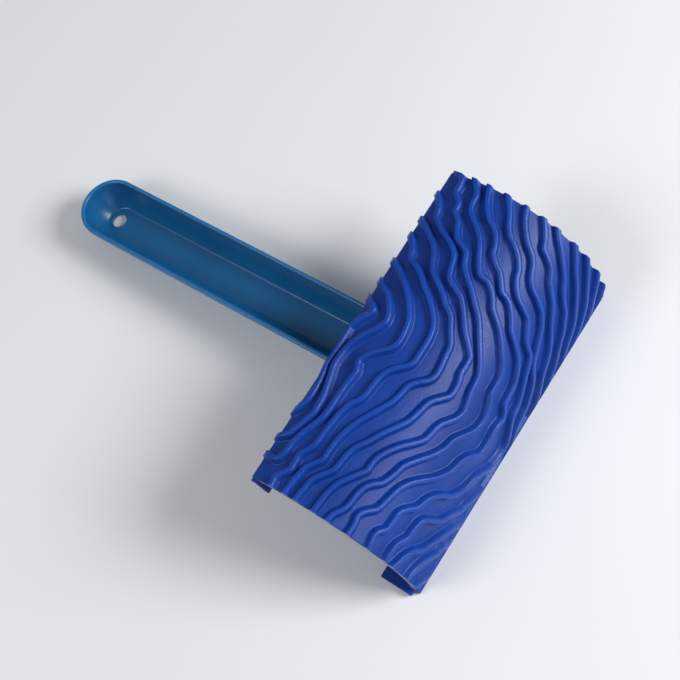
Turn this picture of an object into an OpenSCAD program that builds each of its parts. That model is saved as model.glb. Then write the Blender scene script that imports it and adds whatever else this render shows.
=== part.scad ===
// Wood-graining rocker: a curved rubber pad with a raised heart-grain pattern, hooked over
// a plastic holder, with an open channel handle screwed to the holder's tongue.
// +X runs along the pad's width, -Y is the front and +Z is up. The tool lies on its back,
// pattern up, on the pad's front edge and the heel of the handle. Millimetres.

/* [Pattern pad] */
// Width of the patterned sheet
pad_w = 150; // [120:1:180]
// Radius of the sheet's smooth outer face, in the valleys between ridges
pad_r = 48.6; // [48:0.1:50]
// Angle that the sheet wraps around its axis
pad_span = 125.2; // [120:0.1:128]
// Lean of the sheet's middle, from straight up towards the front
pad_lean = 37.5; // [36:0.1:39]
// Thickness of the sheet and of its two edge lips
pad_t = 2.5; // [2:0.1:3]
// Depth of the rear edge's lip, from the sheet's outer face towards the axis
rear_lip = 11; // [9:0.5:12]
// Depth of the front edge's lip, from the sheet's outer face towards the axis
front_lip = 15.5; // [13:0.5:17]
// How far each end of the rear lip stands past the end of the sheet
rear_lip_past = 1.5; // [0:0.1:3.5]
// How far each end of the front lip stands past the end of the sheet
front_lip_past = 2.8; // [0:0.1:3.5]
// Height of the straight bead along the sheet's front edge
bead_h = 1.9; // [1:0.1:2.5]

/* [Grain ridges] */
// Height of the ridges above the valleys
ridge_h = 2.8; // [1.5:0.1:3.5]
// Width of a ridge along its crest
ridge_top = 1.8; // [1:0.1:2.5]
// Width of a ridge at its foot
ridge_foot = 3.8; // [3:0.1:5]

/* [Holder] */
// Width of the plastic holder behind the pad
holder_w = 140; // [100:1:144]
// Wall of the holder's shell, flanges and ribs
holder_t = 2.4; // [2:0.1:3]
// Depth of the holder's arched ribs, inwards from the shell
rib_depth = 5; // [3:0.5:6]
// Width of the two saddle ribs that bear on the handle's rims
saddle_w = 60; // [40:1:80]

/* [Handle] */
// Width of the handle across its rims
handle_w = 29.4; // [28:0.1:32]
// Wall of the handle's channel
handle_wall = 1.9; // [1.6:0.1:2.4]
// Depth of the channel from its rims to its underside
handle_depth = 16.7; // [16:0.1:18]
// Radius of the channel's hollow side walls
wall_curve = 21; // [19:0.5:24]
// Distance of the handle's tip from the pad's axis
handle_reach = 177.3; // [150:0.1:200]
// Distance of the handle's inner end in front of the pad's axis
handle_root = 28; // [24:1:30]
// Distance of the rims from the pad's axis
rim_offset = 21.7; // [20:0.1:23]
// Fall of the handle towards its tip
handle_tilt = 4.72; // [4:0.01:6]
// Diameter of the hanging hole
hang_d = 7; // [5:0.5:8]
// Distance of the hanging hole from the handle's tip
hang_from_tip = 12.7; // [11:0.1:16]

/* [Screws] */
// Diameter of the screws' shanks
screw_d = 4; // [3:0.5:4]
// Diameter of the screws' pan heads
screw_head_d = 7.6; // [6:0.1:8]
// Height of the pan heads
screw_head_h = 2.4; // [2:0.1:3]
// Length of the shank under the head
screw_len = 10; // [8:0.5:12]

/* [Hidden] */
$fn = 96;

// The pad's axis in the part's own frame, whose origin is under the middle of its box
axis_y = -63.54;
axis_z = 9.03;

pad_back = -pad_span / 2;
pad_front = pad_span / 2;
arc_step = 3.13;
mm_per_degree = pad_r * PI / 180;

play = 0.15;
bite = 1;
edge_trim = 0.4;
rear_end_h = 1.4;
rear_turn = 30;
front_turn = 1.7;
bead_angle = 2.4;
crest_shift = [-0.6, -0.5];
lip_step = 0.06;
shell_inset = 3.5;
rib_inset = 5;
shell_r = pad_r - pad_t - play;
shell_inner_r = shell_r - holder_t;
flange_gap = pad_t + play;
flange_end = 1.5;
rib_r = shell_inner_r - rib_depth;
rib_x = [-holder_w / 2, -40, 40 - holder_t, holder_w / 2 - holder_t];

floor_t = 2;
floor_h = floor_t - handle_depth;
end_r = handle_w / 2;
end_s = handle_reach - end_r;
curve_x = handle_w / 2 - handle_wall - wall_curve;
curve_h = -0.2;

tongue_half_w = 6.3;
tongue_front = -24;
tongue_back = 34;
tongue_t = 3;
web_slope = 7;
web_top_back = 12.5;
web_top = 24;
tongue_h = floor_h + play;
boss_d = 8;
boss_h = screw_len - 4;
saddle_s = [-16, 8];
screw_s = [-9, 21];
screw_hole_d = screw_d + 0.4;
pilot_d = screw_d + 0.2;
recess_w = 1.1;
recess_depth = 1.4;
head_edge = 0.7;

// Crest of each grain ridge as [x, distance along the sheet from its rear edge].
// The curves that dip in the middle are the nested hearts of the grain.
GRAIN = [
    [[13, -2], [9, 5], [7, 7], [4, 6], [0, 3], [-5, 2], [-20, 2], [-26, 4], [-34, 5], [-40, 3], [-45, -1]],
    [[21, -2], [18, 4], [15, 9], [9, 14], [4, 15], [0, 12], [-6, 8], [-14, 6], [-20, 6], [-28, 8],
     [-37, 10], [-46, 9], [-53, 6], [-57, -2]],
    [[31, -2], [27, 6], [22, 13], [16, 19], [9, 23], [0, 24], [-4, 22], [-9, 17], [-13, 14], [-18, 16],
     [-28, 15], [-41, 14], [-50, 11], [-60, 9], [-64, 7], [-64, -1]],
    [[44, -2], [41, 4], [33, 9], [29, 16], [22, 24], [15, 30], [9, 33], [0, 33], [-5, 32], [-11, 27],
     [-18, 25], [-28, 23], [-35, 20], [-53, 18], [-59, 15], [-66, 15], [-70, 11], [-76, 12]],
    [[52, -2], [47, 8], [42, 14], [34, 18], [28, 25], [22, 33], [15, 38], [9, 41], [-5, 42], [-12, 36],
     [-22, 34], [-32, 29], [-42, 25], [-55, 24], [-62, 19], [-76, 18]],
    [[65, -2], [61, 5], [53, 9], [49, 15], [44, 22], [33, 27], [29, 35], [20, 42], [12, 49], [3, 50],
     [-5, 52], [-14, 46], [-26, 43], [-36, 36], [-47, 31], [-56, 29], [-65, 24], [-76, 23]],
    [[76, 4], [67, 9], [62, 13], [57, 15], [50, 20], [46, 27], [38, 31], [30, 40], [20, 48], [10, 55],
     [0, 58], [-9, 60], [-19, 54], [-28, 51], [-40, 42], [-50, 40], [-60, 33], [-76, 31]],
    [[76, 13], [70, 17], [63, 19], [55, 27], [43, 34], [40, 40], [33, 47], [26, 55], [18, 62], [10, 66],
     [3, 66], [-5, 70], [-12, 68], [-20, 63], [-27, 60], [-39, 51], [-49, 48], [-56, 42], [-66, 41],
     [-76, 37]],
    [[76, 20], [67, 24], [60, 31], [51, 36], [45, 43], [39, 50], [35, 55], [29, 60], [22, 69], [15, 73],
     [6, 75], [0, 79], [-14, 79], [-22, 73], [-31, 69], [-42, 59], [-49, 54], [-60, 51], [-66, 46],
     [-76, 46]],
    [[76, 28], [65, 35], [57, 43], [46, 50], [40, 58], [35, 64], [30, 68], [26, 74], [14, 80], [5, 84],
     [-6, 93], [-15, 93], [-24, 86], [-33, 81], [-39, 75], [-43, 69], [-50, 65], [-57, 59], [-69, 56],
     [-76, 57]],
    [[76, 37], [66, 42], [58, 51], [50, 56], [44, 66], [39, 70], [31, 74], [24, 79], [16, 88], [7, 92],
     [-1, 98], [-10, 103], [-22, 102], [-31, 94], [-40, 88], [-49, 79], [-53, 70], [-62, 69], [-69, 66],
     [-76, 66]],
    [[76, 45], [65, 52], [59, 60], [50, 69], [40, 77], [32, 84], [25, 89], [18, 98], [12, 108]],
    [[76, 52], [65, 63], [57, 70], [48, 80], [38, 89], [31, 96], [21, 108]],
    [[76, 62], [67, 70], [60, 78], [52, 87], [44, 93], [38, 101], [34, 108]],
    [[76, 70], [67, 80], [60, 89], [52, 97], [43, 108]],
    [[76, 81], [68, 89], [62, 98], [54, 108]],
    [[76, 92], [71, 99], [64, 108]],
    [[-36, 108], [-42, 100], [-46, 93], [-52, 87], [-61, 80], [-66, 74], [-76, 70]],
    [[-49, 108], [-53, 98], [-61, 89], [-65, 85], [-70, 82], [-76, 81]],
    [[-62, 108], [-66, 100], [-71, 94], [-76, 90]],
];

// Frame on the pad's axis, turned by an angle: +Z outwards there, +Y towards the rear
module on_axis(a = 0) {
    translate([0, axis_y, axis_z]) rotate([a, 0, 0]) children();
}

// Local frame of the handle: +Y towards its tip, +Z out of its open side, rims at Z = 0
module on_handle() {
    on_axis(-handle_tilt) translate([0, 0, rim_offset]) children();
}

// A flat shape in the Y-Z plane, spread along X from x to x + w
module along_x(x, w) {
    translate([x, 0, 0]) rotate([90, 0, 90]) linear_extrude(w) children();
}

// Wedge of the Y-Z plane between two angles, long enough to cut any ring here
module wedge(a0, a1, r = 2 * pad_r) {
    a_mid = (a0 + a1) / 2;
    polygon([[0, 0], for (a = [a0, (a0 + a_mid) / 2, a_mid, (a_mid + a1) / 2, a1]) r * [-sin(a), cos(a)]]);
}

// Ring sector between two radii and two angles
module ring_sector(r_out, r_in, a0, a1) {
    difference() {
        intersection() {
            circle(r_out);
            wedge(a0, a1);
        }
        circle(r_in);
    }
}

// Radius of a lip's inner end; side is -1 at the rear edge and 1 at the front
function lip_r(side) = pad_r - (side < 0 ? rear_lip : front_lip);

// Length of a lip along the pad's width
function lip_w(side) = pad_w + 2 * (side < 0 ? rear_lip_past : front_lip_past);

// Radial plate inside an edge of the pad's arc, on the same side as a lip
module edge_plate(side, gap, t, r0, r1, w) {
    rotate([side < 0 ? pad_back : pad_front, 0, 0])
        translate([-w / 2, side < 0 ? -gap - t : gap, r0])
            cube([w, t, r1 - r0]);
}

// Ring sector whose round faces are flat strips, for the rubber sheet
module strip_sector(r_out, r_in, a0, a1) {
    steps = round((a1 - a0) / arc_step);
    angles = [for (k = [0 : steps]) a0 + k * (a1 - a0) / steps];
    polygon(concat(
        [for (a = angles) r_out * [-sin(a), cos(a)]],
        [for (k = [steps : -1 : 0]) r_in * [-sin(angles[k]), cos(angles[k])]]
    ));
}

// One peg of a ridge; pegs joined in a chain make its wall and crest
module ridge_peg(p) {
    rotate([pad_back + (p[1] + crest_shift[1]) / mm_per_degree, 0, 0])
        translate([p[0] + crest_shift[0], 0, pad_r - bite])
            cylinder(h = ridge_h + bite, d1 = ridge_foot, d2 = ridge_top, $fn = 6);
}

module grain_ridges() {
    for (ridge = GRAIN, k = [1 : len(ridge) - 1])
        hull() {
            ridge_peg(ridge[k - 1]);
            ridge_peg(ridge[k]);
        }
}

// Half of the Y-Z plane, up to a straight line that trims the ridges to a height at one edge
module under_trim(edge, turn, end_h) {
    rotate(edge + turn) translate([-2 * pad_r, -2 * pad_r])
        square([4 * pad_r, 2 * pad_r + (pad_r + end_h) * cos(turn)]);
}

// Sheet, bead and ridges, made oversize and trimmed together to the sheet's four edges
module ridged_sheet() {
    intersection() {
        union() {
            along_x(-pad_w / 2 - bite, pad_w + 2 * bite) {
                strip_sector(pad_r, pad_r - pad_t, pad_back - arc_step, pad_front + arc_step);
                strip_sector(pad_r + bead_h, pad_r - bite, pad_front - bead_angle, pad_front + arc_step);
            }
            grain_ridges();
        }
        along_x(-pad_w / 2, pad_w) intersection() {
            wedge(pad_back, pad_front);
            under_trim(pad_back, -rear_turn, rear_end_h);
            under_trim(pad_front, front_turn, bead_h);
        }
    }
}

// Rubber moulding: ridged sheet with a lip turned in along each edge
module pattern_pad() {
    color([0.11, 0.24, 0.58]) on_axis(pad_lean) {
        ridged_sheet();
        for (side = [-1, 1])
            edge_plate(side, lip_step, pad_t, lip_r(side), pad_r - edge_trim, lip_w(side));
    }
}

// The room inside the holder's shell, with a bite into its wall
module inside_shell() {
    on_axis() along_x(-holder_w / 2, holder_w) circle(shell_inner_r + bite);
}

// Web of the tongue: reaches from the channel's floor up into the shell
module tongue_web(x) {
    intersection() {
        on_handle() translate([x, 0, 0]) rotate([90, 0, 90]) linear_extrude(holder_t)
            polygon([
                [tongue_front, tongue_h + bite],
                [tongue_back, tongue_h + bite],
                [tongue_back - web_slope, 0],
                [web_top_back, web_top],
                [tongue_front, web_top],
            ]);
        inside_shell();
    }
}

// Cross rib from the shell down to the handle's rims
module saddle(s) {
    intersection() {
        on_handle() translate([-saddle_w / 2, s, play]) cube([saddle_w, holder_t, pad_r]);
        inside_shell();
    }
}

// Curved shell behind the sheet, with a flange inside each lip and arched ribs
module arched_shell() {
    along_x(-holder_w / 2, holder_w)
        ring_sector(shell_r, shell_inner_r, pad_back + shell_inset, pad_front - shell_inset);
    for (side = [-1, 1])
        edge_plate(side, flange_gap, holder_t, lip_r(side) + flange_end, shell_r - edge_trim, holder_w);
    for (x = rib_x)
        along_x(x, holder_t)
            ring_sector(shell_inner_r + bite, rib_r, pad_back + rib_inset, pad_front - rib_inset);
}

// Plastic moulding: curved shell, edge flanges, ribs and the tongue that fills the handle's root
module pad_holder() {
    color([0.1, 0.3, 0.47]) difference() {
        union() {
            on_axis(pad_lean) arched_shell();
            for (s = saddle_s) saddle(s);
            for (x = [-tongue_half_w, tongue_half_w - holder_t]) tongue_web(x);
            on_handle() translate([-tongue_half_w, tongue_front, tongue_h])
                cube([2 * tongue_half_w, tongue_back - tongue_front, tongue_t]);
            for (s = screw_s)
                on_handle() translate([0, s, tongue_h]) cylinder(h = tongue_t + boss_h, d = boss_d);
        }
        for (s = screw_s)
            on_handle() translate([0, s, tongue_h - bite]) cylinder(h = tongue_t + boss_h, d = pilot_d);
    }
}

// Area between the channel's two curved side walls, from a depth below the rims to a rise above
module channel_area(wall, depth, rise) {
    intersection() {
        translate([curve_x, curve_h]) circle(wall_curve + wall);
        translate([-curve_x, curve_h]) circle(wall_curve + wall);
        translate([-handle_w, -depth]) square([2 * handle_w, depth + rise]);
    }
}

// Half of that area turned about the handle's end, for its rounded tip
module channel_end(wall, depth, rise) {
    rotate_extrude() intersection() {
        translate([curve_x, curve_h]) circle(wall_curve + wall);
        translate([0, -depth]) square([handle_w, depth + rise]);
    }
}

// Solid channel, or the hollow in it, from a start point to the rounded tip
module channel(wall, depth, start, rise = 0) {
    translate([0, end_s, 0]) rotate([90, 0, 0]) linear_extrude(end_s - start) channel_area(wall, depth, rise);
    translate([0, end_s, 0]) channel_end(wall, depth, rise);
}

// Handle moulding: open channel with a round hanging hole near the tip
module handle() {
    color([0.13, 0.35, 0.53]) on_handle() difference() {
        channel(handle_wall, handle_depth, -handle_root);
        channel(0, -floor_h, -handle_root - bite, bite);
        translate([0, handle_reach - hang_from_tip, -handle_depth - bite])
            cylinder(h = floor_t + 2 * bite, d = hang_d);
        for (s = screw_s)
            translate([0, s, -handle_depth - bite]) cylinder(h = floor_t + 2 * bite, d = screw_hole_d);
    }
}

// One pan-head screw, head down under the channel's floor
module pan_screw() {
    translate([0, 0, -bite / 2]) cylinder(h = screw_len + bite / 2, d = screw_d);
    difference() {
        union() {
            translate([0, 0, -screw_head_h + head_edge])
                cylinder(h = screw_head_h - head_edge, d = screw_head_d);
            translate([0, 0, -screw_head_h])
                cylinder(h = head_edge, d1 = screw_head_d - 2 * head_edge, d2 = screw_head_d);
        }
        for (turn = [0, 90])
            rotate([0, 0, turn]) translate([-recess_w / 2, -screw_head_d / 4, -screw_head_h - bite])
                cube([recess_w, screw_head_d / 2, recess_depth + bite]);
    }
}

module handle_screws() {
    color([0.7, 0.7, 0.72])
        for (s = screw_s) on_handle() translate([0, s, -handle_depth]) pan_screw();
}

pattern_pad();
pad_holder();
handle();
handle_screws();
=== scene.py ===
# Looks of the wood-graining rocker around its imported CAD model.
# Blender works in metres. Sizes here are in millimetres unless they say otherwise, and
# put_in_place() scales the meshes.
import math

import bmesh
import bpy
import numpy as np
from mathutils import Matrix, Vector, kdtree


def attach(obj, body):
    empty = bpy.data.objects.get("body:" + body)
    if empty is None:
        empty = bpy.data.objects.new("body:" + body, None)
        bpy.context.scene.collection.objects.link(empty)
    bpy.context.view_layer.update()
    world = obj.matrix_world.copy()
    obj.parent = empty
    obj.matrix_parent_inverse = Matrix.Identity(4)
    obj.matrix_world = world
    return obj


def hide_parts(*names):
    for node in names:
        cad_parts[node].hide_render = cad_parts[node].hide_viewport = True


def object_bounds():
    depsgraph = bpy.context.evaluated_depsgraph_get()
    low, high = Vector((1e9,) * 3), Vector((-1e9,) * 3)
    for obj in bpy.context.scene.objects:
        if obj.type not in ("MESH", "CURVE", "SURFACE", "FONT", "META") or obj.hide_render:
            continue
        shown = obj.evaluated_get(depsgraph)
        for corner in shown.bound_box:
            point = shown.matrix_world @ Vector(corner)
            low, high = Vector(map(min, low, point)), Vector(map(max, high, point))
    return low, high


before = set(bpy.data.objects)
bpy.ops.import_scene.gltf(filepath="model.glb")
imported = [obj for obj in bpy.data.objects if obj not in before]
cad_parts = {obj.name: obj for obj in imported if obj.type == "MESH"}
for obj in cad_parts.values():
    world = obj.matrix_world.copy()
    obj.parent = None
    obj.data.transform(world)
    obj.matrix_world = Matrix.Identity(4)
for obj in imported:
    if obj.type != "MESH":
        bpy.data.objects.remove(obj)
cad_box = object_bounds()

MM = 0.001
CRISP_ANGLE = math.radians(32)
REAR, FRONT = -1, 1

# ---- Sizes that the pieces share with the CAD model ----
# The pad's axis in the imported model's frame
AXIS_Y, AXIS_Z = -63.54, 9.03

PAD_W = 150.0
PAD_R = 48.6
PAD_SPAN = 125.2
PAD_LEAN = 37.5
PAD_T = 2.5
LIP_DEPTH = {REAR: 11.0, FRONT: 15.5}
LIP_EXTRA = {REAR: 1.5, FRONT: 2.8}
BEAD_H = 1.9
BEAD_W = 2.0
RIDGE_H = 2.8

HANDLE_W = 29.4
HANDLE_WALL = 1.9
HANDLE_DEPTH = 16.7
FLOOR_DEPTH = 14.7
WALL_CURVE = 21.0
CURVE_H = -0.2
HANDLE_REACH = 177.3
HANDLE_ROOT = 28.0
RIM_OFFSET = 21.7
HANDLE_TILT = 4.72
HANG_D = 7.0
HANG_FROM_TIP = 12.7


# ---- Frames ----
def turned(degrees):
    """Matrix of a frame on the pad's axis, turned from straight up towards the front."""
    return Matrix.Translation((0, AXIS_Y, AXIS_Z)) @ Matrix.Rotation(math.radians(degrees), 4, "X")


PAD_FRAME = turned(PAD_LEAN)
HANDLE_FRAME = turned(-HANDLE_TILT) @ Matrix.Translation((0, 0, RIM_OFFSET))


def mesh_piece(name, verts, faces):
    """A mesh object from points in millimetres, in the piece's local frame."""
    mesh = bpy.data.meshes.new(name)
    mesh.from_pydata([tuple(v) for v in verts], [], faces)
    piece = bpy.data.objects.new(name, mesh)
    bpy.context.scene.collection.objects.link(piece)
    return piece


def put_in_place(piece, place):
    """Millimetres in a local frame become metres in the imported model's frame."""
    piece.data.transform(Matrix.Scale(MM, 4) @ place)
    piece.data.update()


def close_and_shade(piece):
    """Faces turned outwards, smooth where the surface is, crisp at its real edges."""
    bm = bmesh.new()
    bm.from_mesh(piece.data)
    bmesh.ops.recalc_face_normals(bm, faces=bm.faces)
    for edge in bm.edges:
        edge.smooth = edge.calc_face_angle(0) < CRISP_ANGLE
    for face in bm.faces:
        face.smooth = True
    bm.to_mesh(piece.data)
    bm.free()
    shade = piece.modifiers.new("shade", "WEIGHTED_NORMAL")
    shade.keep_sharp = True


# ---- Grain pattern ----
# Each ridge as (x, distance along the sheet from its rear edge), at its crest's lit edge
GRAIN = [
    [(13, -2), (11.5, 0.5), (10, 3), (8.5, 6), (7, 7.2), (4.5, 6), (2, 4.3), (0, 3.2), (-3, 1.8),
     (-5, 2), (-12, 2.3), (-20, 2), (-24, 3.2), (-28, 4), (-33, 4.5), (-37, 4.3), (-41, 3),
     (-43.5, 1), (-45, -1)],
    [(21, -2), (20, 0.5), (18, 4), (16, 8), (13, 11), (10, 13), (8, 14.2), (5, 14.8), (3, 14),
     (0, 12.3), (-5, 9), (-8, 7.5), (-12, 6.2), (-16, 5.8), (-20, 5.8), (-24, 7), (-28, 8.2),
     (-33, 9.6), (-37, 10), (-41, 10), (-46, 8.5), (-50, 7), (-53, 5.5), (-55, 2.5), (-57, -2)],
    [(31, -2), (30, 0.5), (28, 5), (25, 9), (22, 13), (18, 17), (14, 20), (10, 22.3), (5, 23.5),
     (0, 23.8), (-3, 22.8), (-6, 20), (-9, 17), (-12, 15), (-14, 14.2), (-16, 14.8), (-18, 15.8),
     (-20, 15.8), (-25, 15.2), (-30, 15), (-36, 15), (-41, 14.5), (-45, 13), (-50, 11), (-55, 9.5),
     (-60, 9), (-63.5, 7.5), (-64, 5), (-64, -1)],
    [(44, -2), (43, 1), (41, 4), (37, 7), (33, 9), (31, 13), (28, 17), (25, 20), (22, 24), (18, 28),
     (14, 31), (10, 32.5), (5, 33), (0, 33), (-4, 32.8), (-7, 31), (-9, 29), (-12, 26.5), (-16, 25),
     (-20, 24.5), (-25, 24), (-28, 23), (-31, 21), (-35, 19.8), (-40, 19), (-46, 18.5), (-52, 18),
     (-55, 16.5), (-58, 15), (-62, 15), (-65, 15), (-67, 13.5), (-70, 11.5), (-72, 11.5), (-76, 12)],
    [(52, -2), (51, 1), (49, 5), (46, 9), (43, 13), (39, 16), (35, 18), (32, 20), (29, 24), (26, 28),
     (23, 31), (20, 35), (15, 38), (10, 41), (5, 41.8), (0, 42.5), (-4, 42.5), (-7, 41), (-10, 38),
     (-13, 36), (-18, 35), (-22, 34), (-26, 32), (-30, 30), (-34, 28), (-39, 26), (-45, 24.5),
     (-50, 24), (-55, 23.8), (-58, 22), (-61, 20), (-66, 19), (-70, 18.5), (-76, 18)],
    [(65, -2), (64, 1), (62, 4), (58, 6.5), (54, 8), (51, 11), (49, 14), (47, 18), (44, 22), (41, 24),
     (36, 25.5), (33, 27), (31, 30), (29, 34), (26, 37), (22, 40), (18, 43), (15, 46), (12, 49),
     (10, 50.2), (6, 50.5), (3, 50.5), (0, 51.5), (-4, 52), (-7, 51.5), (-10, 49), (-14, 46),
     (-20, 44.5), (-25, 43), (-30, 40), (-35, 37), (-40, 34.5), (-45, 31.5), (-50, 30.3), (-56, 29.5),
     (-60, 27), (-64, 24.5), (-68, 23.8), (-76, 23)],
    [(76, 4), (74, 8), (70, 9.2), (67, 9.5), (64, 12.5), (62, 13.5), (59, 14), (56, 17), (52, 19),
     (49, 21), (47.5, 24.5), (45.5, 27), (41, 29), (38, 31.5), (34, 36), (30, 40), (25, 45),
     (20, 48.5), (15, 52), (10, 55.5), (6, 57.3), (0, 58), (-5, 59.3), (-9, 60), (-13, 58.5),
     (-17, 55.5), (-20, 54), (-24, 53.2), (-27, 52.3), (-30, 50), (-35, 45.5), (-40, 42.2),
     (-44, 40.5), (-48, 40), (-50, 39.8), (-55, 36.5), (-60, 33.5), (-65, 32), (-70, 31.5), (-76, 31)],
    [(76, 13), (72, 16), (69, 17.8), (65, 18.3), (62, 19.5), (60, 21.5), (57, 25), (54, 28),
     (50, 30.5), (46, 32.5), (42, 35), (40.5, 37), (40, 40), (38, 43), (35, 45.5), (32, 47.5),
     (30, 50), (27, 54), (23, 58), (20, 60.5), (16, 63.8), (12, 65.7), (8, 66), (4, 66.3), (0, 68.5),
     (-5, 70), (-10, 69.5), (-13, 68), (-17, 65), (-20, 63), (-25, 61.5), (-30, 58.5), (-35, 54.5),
     (-40, 51), (-45, 49.5), (-50, 47.5), (-53, 44.5), (-56, 42.5), (-60, 41.5), (-65, 41),
     (-68, 39.8), (-71, 38), (-76, 37)],
    [(76, 20), (71, 22), (67, 24), (63, 27), (61, 30), (58, 33), (54, 35), (51, 36), (48, 39),
     (46, 42), (43, 44.5), (40, 47), (39, 50), (37, 53), (33, 56.5), (30, 58.5), (28, 61), (25, 65.5),
     (22, 69), (18, 72), (14, 74), (9, 74.8), (5, 75.5), (3, 77.5), (0, 79.3), (-5, 78.5), (-10, 79),
     (-15, 79), (-18, 77.5), (-21, 74), (-25, 71.5), (-30, 70), (-33, 68), (-37, 64.5), (-41, 60),
     (-44, 57), (-48, 54.5), (-52, 53.3), (-56, 52.3), (-60, 51), (-63, 48), (-66, 46.3), (-70, 46.8),
     (-76, 46.5)],
    [(76, 28), (72, 31), (68, 33.5), (64, 35.5), (61, 38), (59, 41), (56, 44.5), (52, 47.5), (48, 49),
     (45, 51), (42, 54), (40, 58), (38, 62), (34, 65), (30, 68), (28, 72), (25, 74.5), (20, 77),
     (15, 80), (10, 82.8), (5, 84.2), (2, 86.5), (0, 88.8), (-3, 92), (-6, 93.8), (-10, 94.2),
     (-15, 93), (-17, 92), (-20, 89.5), (-23, 86.5), (-26, 84.5), (-30, 83), (-34, 80.8), (-38, 76.8),
     (-40, 73), (-42, 70), (-45, 67.5), (-50, 65.3), (-53, 62), (-56, 59.7), (-60, 59.3), (-64, 58.8),
     (-67, 56.3), (-70, 56), (-76, 57)],
    [(76, 37), (71, 39), (67, 41.5), (63, 45), (60, 49), (57, 51.5), (52, 54), (49, 57), (47, 61),
     (44, 66), (42, 68), (39, 70.4), (35, 72.4), (31, 74.4), (27, 76.5), (24, 79.5), (21, 83.5),
     (16, 87.6), (12, 90.2), (7, 92), (3, 93.6), (-1, 97.5), (-5, 101), (-10, 103), (-20, 102),
     (-25, 101), (-28, 98), (-31, 94.5), (-35, 91.5), (-39, 89.5), (-41, 87), (-44, 83.5), (-48, 80),
     (-50, 76), (-52, 72), (-54, 70.3), (-58, 69.5), (-62, 69), (-66, 66.5), (-70, 65.8), (-76, 66)],
    [(76, 45), (72, 48), (68, 50.5), (65, 52), (63, 55.5), (60, 59.5), (56, 62), (53, 65), (49.5, 69),
     (44, 73.2), (40, 77.2), (36, 81.3), (32, 84.2), (28, 86.4), (25, 89.2), (21.5, 94), (18, 98.5),
     (15.5, 102), (12, 108)],
    [(76, 52), (72, 55.5), (69, 59), (65, 63), (61, 67), (57, 70), (54, 73.2), (52, 76.8), (48.5, 80),
     (45.5, 83), (41.5, 85.8), (38, 89), (35, 92.7), (31, 96), (28, 99), (25, 102), (21, 108)],
    [(76, 62.2), (72, 65.7), (67, 70), (63.5, 74), (60, 77.7), (56, 82.5), (52, 87.2), (48, 90.2),
     (44.5, 93), (41.5, 96.6), (38, 101), (34, 108)],
    [(76, 70.5), (72, 75), (67, 80.5), (63, 86), (60, 89.5), (56, 93.2), (52, 97), (48, 101), (43, 108)],
    [(76, 81.3), (72, 85.7), (68, 89.5), (65, 93.6), (62, 98), (58, 103), (54, 108)],
    [(76, 92), (74, 95), (71, 99), (68, 103), (64, 108)],
    [(-36, 108), (-42, 100), (-44, 97), (-46, 93), (-49, 90), (-52, 87), (-56, 84), (-60, 81),
     (-63, 78), (-65, 75), (-69, 72.5), (-72, 71.5), (-76, 70)],
    [(-49, 108), (-50, 103), (-53, 98), (-55, 94), (-59, 91.5), (-62, 88), (-65, 85), (-70, 82.5),
     (-76, 81.5)],
    [(-62, 108), (-63, 103), (-66, 100), (-69, 97), (-72, 93), (-76, 90)],
]
# From a crest's lit edge to its middle
CREST_MIDDLE = (-0.6, -0.5)
CREST_HALF = 0.85
FOOT_HALF = 1.9
CREST_DOME = 0.1
CREST_BLEND = 0.12
FOOT_BLEND = 0.25
CURVE_STEP = 0.12
# Height that the ridges keep at each long edge, and the flat trim's turn from it in degrees
EDGE_TRIM = {REAR: (1.4, 30.0), FRONT: (BEAD_H, 1.7)}
# Least cosine that the trim is worked out with, far from its edge
TRIM_COS = 0.3
# Width of the slope on the bead's inner side
BEAD_FLANK = 0.9


def smooth_curve(points, step):
    """Catmull-Rom curve through given points, sampled about every step."""
    p = np.array(points, float)
    p = np.vstack([2 * p[0] - p[1], p, 2 * p[-1] - p[-2]])
    samples = []
    for a, b, c, d in zip(p, p[1:], p[2:], p[3:]):
        n = max(2, int(np.linalg.norm(c - b) / step))
        t = np.linspace(0, 1, n, endpoint=False)[:, None]
        samples.append(
            0.5 * (2 * b + (c - a) * t + (2 * a - 5 * b + 4 * c - d) * t**2
                   + (3 * b - a - 3 * c + d) * t**3)
        )
    return np.vstack(samples)


def crest_distance(xs, vs):
    """Distance from each (x, v) of the grid to the nearest crest."""
    crests = np.vstack([smooth_curve(ridge, CURVE_STEP) for ridge in GRAIN]) + CREST_MIDDLE
    tree = kdtree.KDTree(len(crests))
    for k, (x, v) in enumerate(crests):
        tree.insert((x, v, 0), k)
    tree.balance()
    return np.array([[tree.find((x, v, 0))[2] for x in xs] for v in vs])


def smooth_min(a, b, blend):
    """The lower of two heights, rounded where they are closer than blend."""
    return np.minimum(a, b) - np.maximum(blend - np.abs(a - b), 0) ** 2 / (4 * blend)


def ridge_height(d):
    """Height of the pattern above the valleys at a distance from the crest."""
    crest = RIDGE_H - CREST_DOME * (d / CREST_HALF) ** 2
    flank = RIDGE_H * (FOOT_HALF - d) / (FOOT_HALF - CREST_HALF)
    return -smooth_min(-smooth_min(crest, flank, CREST_BLEND), 0, FOOT_BLEND)


def bead_height(from_front):
    """Height of the straight bead at a distance along the sheet from its front edge."""
    flank = BEAD_H * (1 + (BEAD_W - from_front) / BEAD_FLANK)
    return np.clip(flank, 0, BEAD_H)


def trimmed_height(angles, side):
    """Highest that ridges may stand at each angle, under the flat trim at one of the long edges."""
    end_h, turn = EDGE_TRIM[side]
    facing = side * (PAD_SPAN / 2 + turn)
    reach = (PAD_R + end_h) * math.cos(math.radians(turn))
    return reach / np.maximum(np.cos(np.radians(facing - angles)), TRIM_COS) - PAD_R


# ---- Pad: ridged sheet with two lips, one closed mesh ----
GRID = 0.36
FINE_PER_COARSE = 8
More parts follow.
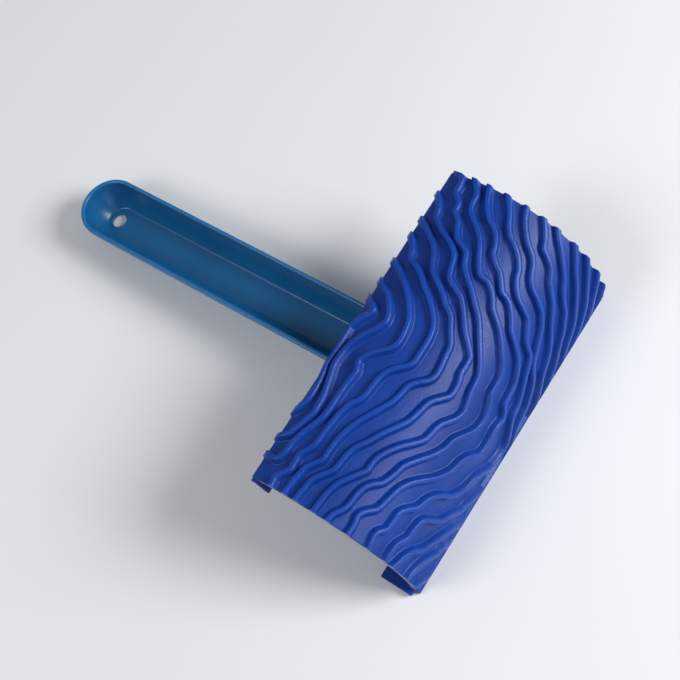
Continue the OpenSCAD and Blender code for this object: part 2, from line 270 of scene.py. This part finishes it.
# Rounded edges as (distance from the edge, how far the surface falls there)
EDGE_ROUND = [(0.0, 0.15), (0.05, 0.05), (0.15, 0.0)]
LIP_ROUND = [(0.0, 0.4), (0.12, 0.12), (0.4, 0.0)]
LIP_END_ROUND = 0.35
LIP_TOP_R = PAD_R - 0.6
LIP_FILLET = 3.0
FILLET_STEPS = 5
# Index of the fillet's first point in a lip's section
FILLET_START = 1 + 2 * len(LIP_ROUND)
# Degrees left free between a fillet and the inner face's first row
FILLET_GAP = 1.0


def edged_steps(length, step, multiple):
    """Positions from 0 to length, close together at both rounded ends.

    The number of steps is a whole multiple, so that a coarser grid can take one step for as many.
    """
    inset = EDGE_ROUND[-1][0]
    ends = [e for e, _ in EDGE_ROUND]
    inner = round((length - 2 * inset) / step / multiple) * multiple - 2 * (len(ends) - 1)
    middle = np.linspace(inset, length - inset, inner + 1)
    return np.concatenate([ends[:-1], middle, [length - e for e in ends[-2::-1]]])


def edge_drop(positions, length):
    """How far the rounded ends fall below the surface."""
    near = np.minimum(positions, length - positions)
    at = [e for e, _ in EDGE_ROUND]
    fall = [f for _, f in EDGE_ROUND]
    return np.interp(near, at, fall)


def polar(degrees, r):
    """Point of the pad's section at an angle from its middle, as (y, z)."""
    a = math.radians(degrees)
    return np.array([-r * math.sin(a), r * math.cos(a)])


def edge_point(side, r, t):
    """Point of an edge lip: r along the edge's radial plane, t inwards from it."""
    a = math.radians(side * PAD_SPAN / 2)
    y = -r * math.sin(a) + side * t * math.cos(a)
    z = r * math.cos(a) + side * t * math.sin(a)
    return np.array([y, z])


def lip_section(side):
    """Section points of a lip, from its top at the edge down, round its tip and up into the fillet."""
    lip_r = PAD_R - LIP_DEPTH[side]
    fillet_r = PAD_R - PAD_T - LIP_FILLET
    points = [(LIP_TOP_R, 0.0)]
    points += [(lip_r + fall, e) for e, fall in LIP_ROUND]
    points += [(lip_r + fall, PAD_T - e) for e, fall in reversed(LIP_ROUND)]
    for k in range(FILLET_STEPS + 1):
        a = math.pi / 2 * k / FILLET_STEPS
        points.append((fillet_r + LIP_FILLET * math.sin(a), PAD_T + LIP_FILLET * (1 - math.cos(a))))
    return [edge_point(side, r, t) for r, t in points]


def pattern_pad():
    """The pad's closed mesh: a fine grid of the pattern over a coarse underside with the lips."""
    arc = math.radians(PAD_SPAN) * PAD_R
    xs = edged_steps(PAD_W, GRID, FINE_PER_COARSE)
    vs = edged_steps(arc, GRID, FINE_PER_COARSE)
    angles = vs / arc * PAD_SPAN - PAD_SPAN / 2
    height = ridge_height(crest_distance(xs - PAD_W / 2, vs))
    height = np.maximum(height, bead_height(arc - vs)[:, None])
    for side in EDGE_TRIM:
        height = np.minimum(height, trimmed_height(angles, side)[:, None])
    height -= edge_drop(xs, PAD_W)[None, :] + edge_drop(vs, arc)[:, None]
    xs = xs - PAD_W / 2
    last_v, last_x = len(vs) - 1, len(xs) - 1
    verts, faces = [], []

    def add(x, yz):
        verts.append((x, yz[0], yz[1]))
        return len(verts) - 1

    # Patterned face, on the fine grid
    top = [[add(x, polar(a, PAD_R + h)) for x, h in zip(xs, row)] for a, row in zip(angles, height)]
    for near, far in zip(top, top[1:]):
        for j in range(last_x):
            faces.append((near[j], near[j + 1], far[j + 1], far[j]))
    patterned = len(faces)

    # Underside, on a coarse grid: rear lip, inner face, front lip
    coarse_x = range(0, last_x + 1, FINE_PER_COARSE)
    fillet_span = math.degrees((PAD_T + LIP_FILLET) / (PAD_R - PAD_T))
    inner_half = PAD_SPAN / 2 - fillet_span - FILLET_GAP
    coarse_v = [i for i in range(0, last_v + 1, FINE_PER_COARSE) if abs(angles[i]) < inner_half]
    rear, front = lip_section(REAR), lip_section(FRONT)
    section = rear + [polar(angles[i], PAD_R - PAD_T) for i in coarse_v] + front[::-1]
    under = [[add(xs[j], p) for j in coarse_x] for p in section]
    for near, far in zip(under, under[1:]):
        for k in range(len(near) - 1):
            faces.append((near[k], far[k], far[k + 1], near[k + 1]))
    for row, lip_row in ((top[0], under[0]), (top[-1], under[-1])):
        for k, j in enumerate(coarse_x[:-1]):
            faces.append((*row[j:j + FINE_PER_COARSE + 1], lip_row[k + 1], lip_row[k]))

    # Both ends of the sheet, and the ends of the lips, which are pulled out past them
    lip_cols = int(np.searchsorted(vs, PAD_T))
    lip_ends = []
    for j, k in ((0, 0), (last_x, len(coarse_x) - 1)):
        for a, b in zip(coarse_v, coarse_v[1:]):
            inner = len(rear) + coarse_v.index(a)
            faces.append((*[top[i][j] for i in range(a, b + 1)], under[inner + 1][k], under[inner][k]))
        for side in (REAR, FRONT):
            column = [row[j] for row in top[::-side]]
            inward = [row[k] for row in under[::-side]]
            shelf = [add(xs[j], polar(a, LIP_TOP_R)) for a in angles[::-side][1:lip_cols + 1]]
            shelf.insert(0, inward[0])
            for c in range(lip_cols):
                faces.append((column[c], column[c + 1], shelf[c + 1], shelf[c]))
            lip_ends.append((len(faces), LIP_EXTRA[side]))
            faces.append((*shelf, *inward[FILLET_START:0:-1]))
            gusset = column[lip_cols:coarse_v[0] + 1]
            faces.append((*gusset, *inward[len(rear):FILLET_START - 1:-1], shelf[-1]))

    piece = mesh_piece("rubber_pad", verts, faces)
    finish_pad(piece, patterned, lip_ends)
    return piece


def finish_pad(piece, patterned, lip_ends):
    """Pulls the lips' ends out, then sets which edges look crisp and puts the pad in its place."""
    bm = bmesh.new()
    bm.from_mesh(piece.data)
    bm.faces.ensure_lookup_table()
    bmesh.ops.recalc_face_normals(bm, faces=bm.faces)
    pattern = set(bm.faces[:patterned])
    for end, extra in [(bm.faces[i], extra) for i, extra in lip_ends]:
        out = math.copysign(extra - LIP_END_ROUND, end.calc_center_median().x)
        pulled = bmesh.ops.extrude_face_region(bm, geom=[end])["geom"]
        bmesh.ops.delete(bm, geom=[end], context="FACES_ONLY")
        corners = [g for g in pulled if isinstance(g, bmesh.types.BMVert)]
        bmesh.ops.translate(bm, vec=(out, 0, 0), verts=corners)
        cap = [g for g in pulled if isinstance(g, bmesh.types.BMFace)]
        bmesh.ops.inset_region(bm, faces=cap, thickness=LIP_END_ROUND, depth=LIP_END_ROUND)
    for edge in bm.edges:
        both_pattern = all(f in pattern for f in edge.link_faces)
        edge.smooth = both_pattern or edge.calc_face_angle(0) < CRISP_ANGLE
    for face in bm.faces:
        face.smooth = True
    bm.to_mesh(piece.data)
    bm.free()
    put_in_place(piece, PAD_FRAME)


# ---- Handle: open channel with a round tip and a hanging hole ----
END_R = HANDLE_W / 2
END_S = HANDLE_REACH - END_R
HOLE_S = HANDLE_REACH - HANG_FROM_TIP
CURVE_X = HANDLE_W / 2 - HANDLE_WALL - WALL_CURVE
RIM_ROUND = 0.75
CREASE_ROUND = 1.4
HEEL_ROUND = 1.4
HOLE_ROUND = 0.3
# Distance of a rounding's middle point from the two faces that it joins, as a share of its radius
ROUND_MIDDLE = 0.3
SIDE_STATIONS = 9
TIP_STEPS = 48
FLOOR_COLS = 10
WALL_STEPS = 9
ROUND_STEPS = 4


def wall_x(h, radius):
    """Half width of the channel's wall at a height, on its inner or outer radius."""
    return CURVE_X + math.sqrt(radius**2 - (h - CURVE_H) ** 2)


def wall_points(radius, low, high):
    """Points up a curved wall, without its two ends."""
    a0, a1 = (math.asin((CURVE_H - h) / radius) for h in (low, high))
    angles = np.linspace(a0, a1, WALL_STEPS + 1)[1:-1]
    return [(CURVE_X + radius * math.cos(a), CURVE_H - radius * math.sin(a)) for a in angles]


def rounded(before, corner, after, radius):
    """Arc that rounds a corner between two directions."""
    c = np.array(corner)
    d0 = (np.array(before) - c) / np.linalg.norm(np.array(before) - c)
    d1 = (np.array(after) - c) / np.linalg.norm(np.array(after) - c)
    half = math.acos(float(np.clip(d0 @ d1, -1, 1))) / 2
    centre = c + (d0 + d1) / np.linalg.norm(d0 + d1) * radius / math.sin(half)
    start = c + d0 * radius / math.tan(half) - centre
    stop = c + d1 * radius / math.tan(half) - centre
    turn = math.atan2(start[0] * stop[1] - start[1] * stop[0], start @ stop)
    steps = np.linspace(0, turn, ROUND_STEPS + 1)
    return [tuple(centre + np.array([start[0] * math.cos(t) - start[1] * math.sin(t),
                                     start[0] * math.sin(t) + start[1] * math.cos(t)])) for t in steps]


def handle_profile():
    """Half section from the edge of the flat underside, over the rim, to the edge of the inner floor."""
    outer_r = WALL_CURVE + HANDLE_WALL
    heel = (wall_x(-HANDLE_DEPTH, outer_r), -HANDLE_DEPTH)
    crease = (wall_x(-FLOOR_DEPTH, WALL_CURVE), -FLOOR_DEPTH)
    rim_out, rim_in = (END_R, 0.0), (END_R - HANDLE_WALL, 0.0)
    outer = wall_points(outer_r, -HANDLE_DEPTH, 0)
    inner = wall_points(WALL_CURVE, -FLOOR_DEPTH, 0)[::-1]
    return (
        rounded((0, -HANDLE_DEPTH), heel, outer[0], HEEL_ROUND) + outer
        + rounded(outer[-1], rim_out, rim_in, RIM_ROUND)
        + rounded(rim_out, rim_in, inner[0], RIM_ROUND)
        + inner + rounded(inner[-1], crease, (0, -FLOOR_DEPTH), CREASE_ROUND)
    )


def hole_ring(verts, loop, radius_at, h):
    """Ring round the hanging hole, on the rays to a loop's points; their distance gives its radius."""
    ring = []
    for v in loop:
        ray = np.array(verts[v][:2]) - (0, HOLE_S)
        far = float(np.linalg.norm(ray))
        x, s = ray / far * radius_at(far)
        verts.append((x, s + HOLE_S, h))
        ring.append(len(verts) - 1)
    return ring


def ring_faces(near, far):
    """Faces between two closed rings of as many points."""
    return [(near[k - 1], near[k], far[k], far[k - 1]) for k in range(len(near))]


def handle():
    """The handle's closed mesh: walls along a U-shaped path, then two floors and the hole."""
    profile = handle_profile()
    sides = [*np.linspace(-HANDLE_ROOT, HOLE_S - HANG_D, SIDE_STATIONS), HOLE_S - HANG_D / 2]
    verts, faces = [], []

    def add(x, s, h):
        verts.append((x, s, h))
        return len(verts) - 1

    def station(x_dir, s_dir, s):
        return [add(x_dir * x, s + s_dir * x, h) for x, h in profile]

    # Walls: up the +X side, round the tip and back down the -X side
    turns = [math.pi * k / TIP_STEPS for k in range(TIP_STEPS + 1)]
    stations = [station(1, 0, s) for s in sides]
    stations += [station(math.cos(a), math.sin(a), END_S) for a in turns]
    stations += [station(-1, 0, s) for s in reversed(sides)]
    for a, b in zip(stations, stations[1:]):
        for k in range(len(profile) - 1):
            faces.append((a[k], b[k], b[k + 1], a[k + 1]))

    # Floors: a grid up to the hole's near side, then rays from the hole to the wall round the tip
    roots, hole_rings = [], []
    for edge, inward in ((0, 1), (-1, -1)):
        half, h = profile[edge]
        grid = []
        for n, s in enumerate(sides[:-1]):
            row = [add(half * (1 - 2 * c / FLOOR_COLS), s, h) for c in range(1, FLOOR_COLS)]
            grid.append([stations[n][edge], *row, stations[-1 - n][edge]])
        for near, far in zip(grid, grid[1:]):
            for c in range(FLOOR_COLS):
                faces.append((near[c], near[c + 1], far[c + 1], far[c]))
        first = len(sides) - 2
        wall = [station[edge] for station in stations[first:len(stations) - first]]
        loop = wall + grid[-1][-2:0:-1]
        hole_r = HANG_D / 2
        fall = HOLE_ROUND * ROUND_MIDDLE
        rings = [
            loop,
            hole_ring(verts, loop, lambda far: (far + hole_r) / 2, h),
            hole_ring(verts, loop, lambda far: hole_r + HOLE_ROUND, h),
            hole_ring(verts, loop, lambda far: hole_r + fall, h + inward * fall),
            hole_ring(verts, loop, lambda far: hole_r, h + inward * HOLE_ROUND),
        ]
        for near, far in zip(rings, rings[1:]):
            faces.extend(ring_faces(near, far))
        roots.append(grid[0][1:-1])
        hole_rings.append(rings[-1])
    faces.extend(ring_faces(*hole_rings))

    # Cut inner end: one U-shaped face
    faces.append((*stations[0], *roots[1], *stations[-1][::-1], *roots[0][::-1]))
    piece = mesh_piece("handle_channel", verts, faces)
    close_and_shade(piece)
    put_in_place(piece, HANDLE_FRAME)
    return piece


# ---- Materials ----
# Colours are linear RGB, and tones in pairs are mixed by a noise. Bump distances and edge radii
# are in metres.
# Valleys painted darker and crests lighter: painted shade in the valleys, painted light on the crests
SHADED_VALLEY_TONES = (0.004, 0.038, 0.25), (0.006, 0.048, 0.30)
LIT_CREST_TONES = (0.006, 0.046, 0.29), (0.008, 0.058, 0.35)
# Painted pale reflection on the pad's cut ends
END_REFLECTION_TONE = (0.18, 0.22, 0.42)
TEAL_TONES = (0.006, 0.102, 0.26), (0.008, 0.124, 0.31)
# Painted light on the handle's rim tops
LIT_RIM_TEAL = (0.014, 0.142, 0.355)
ZINC_TONES = (0.52, 0.53, 0.55), (0.68, 0.69, 0.70)
FLOOR_TONES = (0.80, 0.81, 0.82), (0.84, 0.85, 0.86)
# Shares of the ridges' height between which the crests' lighter tone comes in, painted light over the
# valleys' painted shade
CREST_TONE_SHARES = 0.2, 0.9
# Shares of a normal along X between which a face takes the cut ends' painted pale reflection
END_REFLECTION_SHARES = 0.97, 0.99
# Depths below the handle's rims between which the rims' painted light comes in
RIM_LIGHT_DEPTHS = 1.6, 0.5
# Roughness from the valleys to the crests, and what grime adds to it
RUBBER_ROUGHNESS = 0.37, 0.33
RUBBER_GRIME = -0.04, 0.04
PLASTIC_ROUGHNESS = 0.26, 0.36
ZINC_ROUGHNESS = 0.24, 0.40
FLOOR_ROUGHNESS = 0.9
RUBBER_SPECULAR = 0.3
PLASTIC_EDGE_ROUND = 0.0004
SCREW_EDGE_ROUND = 0.0002
BEVEL_SAMPLES = 6


def new_material(name):
    """A new material, its node tree and its shader."""
    material = bpy.data.materials.new(name)
    material.use_nodes = True
    tree = material.node_tree
    return material, tree, tree.nodes["Principled BSDF"]


def noise(tree, scale, detail=2.0, roughness=0.5):
    """Noise over the object, with features about 1 / scale metres across."""
    place = tree.nodes.new("ShaderNodeTexCoord")
    node = tree.nodes.new("ShaderNodeTexNoise")
    node.inputs["Scale"].default_value = scale
    node.inputs["Detail"].default_value = detail
    node.inputs["Roughness"].default_value = roughness
    tree.links.new(place.outputs["Object"], node.inputs["Vector"])
    return node.outputs["Fac"]


def remap(tree, value, low, high, from_low=0.3, from_high=0.7):
    """A value moved to the range low to high and held in it, by default from where noise mostly lies."""
    node = tree.nodes.new("ShaderNodeMapRange")
    node.inputs["From Min"].default_value = from_low
    node.inputs["From Max"].default_value = from_high
    node.inputs["To Min"].default_value = low
    node.inputs["To Max"].default_value = high
    tree.links.new(value, node.inputs["Value"])
    return node.outputs["Result"]


def mixed(tree, factor, a, b):
    """Colour between a and b, each a colour or a socket."""
    node = tree.nodes.new("ShaderNodeMix")
    node.data_type = "RGBA"
    tree.links.new(factor, node.inputs["Factor"])
    for key, colour in (("A", a), ("B", b)):
        socket = next(i for i in node.inputs if i.name == key and i.type == "RGBA")
        if isinstance(colour, tuple):
            socket.default_value = (*colour, 1)
        else:
            tree.links.new(colour, socket)
    return next(o for o in node.outputs if o.type == "RGBA")


def bumped(tree, shader, height, distance, strength, edge_round=0):
    """Bumps a shader by a height, and softens the edges by a radius if one is given."""
    node = tree.nodes.new("ShaderNodeBump")
    node.inputs["Distance"].default_value = distance
    node.inputs["Strength"].default_value = strength
    tree.links.new(height, node.inputs["Height"])
    if edge_round:
        soft = tree.nodes.new("ShaderNodeBevel")
        soft.samples = BEVEL_SAMPLES
        soft.inputs["Radius"].default_value = edge_round
        tree.links.new(soft.outputs["Normal"], node.inputs["Normal"])
    tree.links.new(node.outputs["Normal"], shader.inputs["Normal"])


def crest_factor(tree):
    """0 in the valleys and 1 on the crests, from the distance to the pad's axis."""
    place = tree.nodes.new("ShaderNodeTexCoord")
    from_axis = tree.nodes.new("ShaderNodeVectorMath")
    from_axis.operation = "SUBTRACT"
    from_axis.inputs[1].default_value = (0, AXIS_Y * MM, AXIS_Z * MM)
    across = tree.nodes.new("ShaderNodeVectorMath")
    across.operation = "MULTIPLY"
    across.inputs[1].default_value = (0, 1, 1)
    radius = tree.nodes.new("ShaderNodeVectorMath")
    radius.operation = "LENGTH"
    tree.links.new(place.outputs["Object"], from_axis.inputs[0])
    tree.links.new(from_axis.outputs["Vector"], across.inputs[0])
    tree.links.new(across.outputs["Vector"], radius.inputs[0])
    foot, crest = ((PAD_R + share * RIDGE_H) * MM for share in CREST_TONE_SHARES)
    return remap(tree, radius.outputs["Value"], 0, 1, foot, crest)


def end_reflection_factor(tree):
    """1 on the faces that close the pad's two ends, from the normal's share along X, where a pale
    reflection is painted.
    """
    place = tree.nodes.new("ShaderNodeTexCoord")
    split = tree.nodes.new("ShaderNodeSeparateXYZ")
    size = tree.nodes.new("ShaderNodeMath")
    size.operation = "ABSOLUTE"
    tree.links.new(place.outputs["Normal"], split.inputs["Vector"])
    tree.links.new(split.outputs["X"], size.inputs[0])
    return remap(tree, size.outputs["Value"], 0, 1, *END_REFLECTION_SHARES)


def added(tree, a, b):
    """Sum of two sockets."""
    node = tree.nodes.new("ShaderNodeMath")
    node.operation = "ADD"
    tree.links.new(a, node.inputs[0])
    tree.links.new(b, node.inputs[1])
    return node.outputs["Value"]


def blue_rubber():
    """Moulded rubber: deep blue, with painted light on the crests and painted shade in the valleys,
    duller valleys, and a painted pale reflection on the cut ends.
    """
    material, tree, shader = new_material("blue_rubber")
    crest = crest_factor(tree)
    slow = remap(tree, noise(tree, scale=55, detail=3), 0, 1)
    # Painted shade in the valleys and painted light on the crests
    skin = mixed(tree, crest, mixed(tree, slow, *SHADED_VALLEY_TONES), mixed(tree, slow, *LIT_CREST_TONES))
    # Painted pale reflection on the cut ends
    tree.links.new(mixed(tree, end_reflection_factor(tree), skin, END_REFLECTION_TONE), shader.inputs["Base Color"])
    grime = remap(tree, noise(tree, scale=400, detail=4, roughness=0.6), *RUBBER_GRIME)
    gloss = remap(tree, crest, *RUBBER_ROUGHNESS, from_low=0, from_high=1)
    tree.links.new(added(tree, gloss, grime), shader.inputs["Roughness"])
    shader.inputs["Specular IOR Level"].default_value = RUBBER_SPECULAR
    grain = noise(tree, scale=1300, detail=4, roughness=0.7)
    bumped(tree, shader, grain, distance=0.0005, strength=0.3)
    return material


def rim_factor(tree):
    """0 below the handle's rims and 1 on their tops, where painted light goes, from the height in the
    handle's frame.
    """
    up = HANDLE_FRAME.to_3x3() @ Vector((0, 0, 1))
    rims = HANDLE_FRAME.translation.dot(up)
    below, top = ((rims - depth) * MM for depth in RIM_LIGHT_DEPTHS)
    place = tree.nodes.new("ShaderNodeTexCoord")
    height = tree.nodes.new("ShaderNodeVectorMath")
    height.operation = "DOT_PRODUCT"
    height.inputs[1].default_value = up
    tree.links.new(place.outputs["Object"], height.inputs[0])
    return remap(tree, height.outputs["Value"], 0, 1, below, top)


def teal_plastic(name, lit_rims=False, edge_round=0):
    """Moulded polypropylene with a soft gloss, faint flow marks and a fine skin."""
    material, tree, shader = new_material(name)
    slow = remap(tree, noise(tree, scale=40, detail=3), 0, 1)
    tone = mixed(tree, slow, *TEAL_TONES)
    if lit_rims:
        # Painted light on the rims' tops
        tone = mixed(tree, rim_factor(tree), tone, LIT_RIM_TEAL)
    tree.links.new(tone, shader.inputs["Base Color"])
    gloss = remap(tree, noise(tree, scale=160, detail=4, roughness=0.6), *PLASTIC_ROUGHNESS)
    tree.links.new(gloss, shader.inputs["Roughness"])
    skin = noise(tree, scale=1100, detail=3, roughness=0.6)
    bumped(tree, shader, skin, distance=0.0003, strength=0.12, edge_round=edge_round)
    return material


def zinc():
    """Bright zinc plate with a faint cloudy tarnish."""
    material, tree, shader = new_material("zinc_plate")
    shader.inputs["Metallic"].default_value = 1.0
    cloud = remap(tree, noise(tree, scale=900, detail=4, roughness=0.6), 0, 1)
    tree.links.new(mixed(tree, cloud, *ZINC_TONES), shader.inputs["Base Color"])
    gloss = remap(tree, cloud, *ZINC_ROUGHNESS, from_low=0, from_high=1)
    tree.links.new(gloss, shader.inputs["Roughness"])
    pits = noise(tree, scale=5000)
    bumped(tree, shader, pits, distance=0.0001, strength=0.1, edge_round=SCREW_EDGE_ROUND)
    return material


def set_material(piece, material):
    piece.data.materials.clear()
    piece.data.materials.append(material)


# ---- The pieces ----
pad = pattern_pad()
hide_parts("pattern_pad")
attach(pad, "root")
set_material(pad, blue_rubber())

grip = handle()
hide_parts("handle")
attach(grip, "root")
set_material(grip, teal_plastic("teal_plastic", lit_rims=True))

holder_plastic = teal_plastic("teal_plastic_holder", edge_round=PLASTIC_EDGE_ROUND)
set_material(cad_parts["pad_holder"], holder_plastic)
set_material(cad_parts["handle_screws"], zinc())


# ---- Floor, light and camera ----
# Distances of the floor and the lights are in metres, and angles in degrees.
FLOOR_HALF = 3.0
LIGHT_DISTANCE = 1.2
LIGHT_SIZE = 0.5
# Each light's direction from the object's middle, and its power in watts
LIGHTS = {
    "key": ((0.38, -0.70, 0.54), 13.5),
    "fill": ((-0.58, 0.35, 0.74), 4.5),
}
SKY_COLOUR = (0.86, 0.92, 1.0)
SKY_STRENGTH = 0.27
LOOK_AT = (-2.83, -30.71, 20.92)
CAMERA_DISTANCE = 601.2
AZIMUTH, ELEVATION, ROLL = -31.43, 67.01, -27.30
LENS = 74.65
SENSOR = 36.0


def add_floor():
    """Plain pale floor that the tool lies on."""
    mesh = bpy.data.meshes.new("floor")
    corners = [(FLOOR_HALF * x, FLOOR_HALF * y, 0) for x, y in ((-1, -1), (1, -1), (1, 1), (-1, 1))]
    mesh.from_pydata(corners, [], [(0, 1, 2, 3)])
    floor = bpy.data.objects.new("floor", mesh)
    bpy.context.scene.collection.objects.link(floor)
    material, tree, shader = new_material("pale_floor")
    slow = remap(tree, noise(tree, scale=3), 0, 1)
    tree.links.new(mixed(tree, slow, *FLOOR_TONES), shader.inputs["Base Color"])
    shader.inputs["Roughness"].default_value = FLOOR_ROUGHNESS
    mesh.materials.append(material)


def add_light(name, towards, power):
    """Soft square light in a direction from the object's middle, facing it."""
    light = bpy.data.lights.new(name, "AREA")
    light.shape = "SQUARE"
    light.size = LIGHT_SIZE
    light.energy = power
    holder = bpy.data.objects.new(name, light)
    bpy.context.scene.collection.objects.link(holder)
    direction = Vector(towards).normalized()
    holder.location = (cad_box[0] + cad_box[1]) / 2 + direction * LIGHT_DISTANCE
    holder.rotation_euler = direction.to_track_quat("Z", "Y").to_euler()


def add_sky():
    """Pale, even light from all round."""
    world = bpy.data.worlds.new("studio")
    world.use_nodes = True
    background = world.node_tree.nodes["Background"]
    background.inputs["Color"].default_value = (*SKY_COLOUR, 1)
    background.inputs["Strength"].default_value = SKY_STRENGTH
    bpy.context.scene.world = world


def add_camera():
    """Camera at an azimuth, elevation and roll about the point that it looks at."""
    azimuth, elevation, roll = (math.radians(a) for a in (AZIMUTH, ELEVATION, ROLL))
    flat = math.cos(elevation)
    back = Vector((math.sin(azimuth) * flat, -math.cos(azimuth) * flat, math.sin(elevation)))
    level = Vector((math.cos(azimuth), math.sin(azimuth), 0))
    right = level * math.cos(roll) + back.cross(level) * math.sin(roll)
    up = back.cross(right)
    data = bpy.data.cameras.new("camera")
    data.lens = LENS
    data.sensor_width = SENSOR
    camera = bpy.data.objects.new("camera", data)
    bpy.context.scene.collection.objects.link(camera)
    place = Vector(LOOK_AT) * MM + back * (CAMERA_DISTANCE * MM)
    camera.matrix_world = Matrix.Translation(place) @ Matrix((right, up, back)).transposed().to_4x4()
    bpy.context.scene.camera = camera


add_floor()
for light_name, (light_towards, light_power) in LIGHTS.items():
    add_light(light_name, light_towards, light_power)
add_sky()
add_camera()
bpy.context.scene.view_settings.view_transform = "Standard"
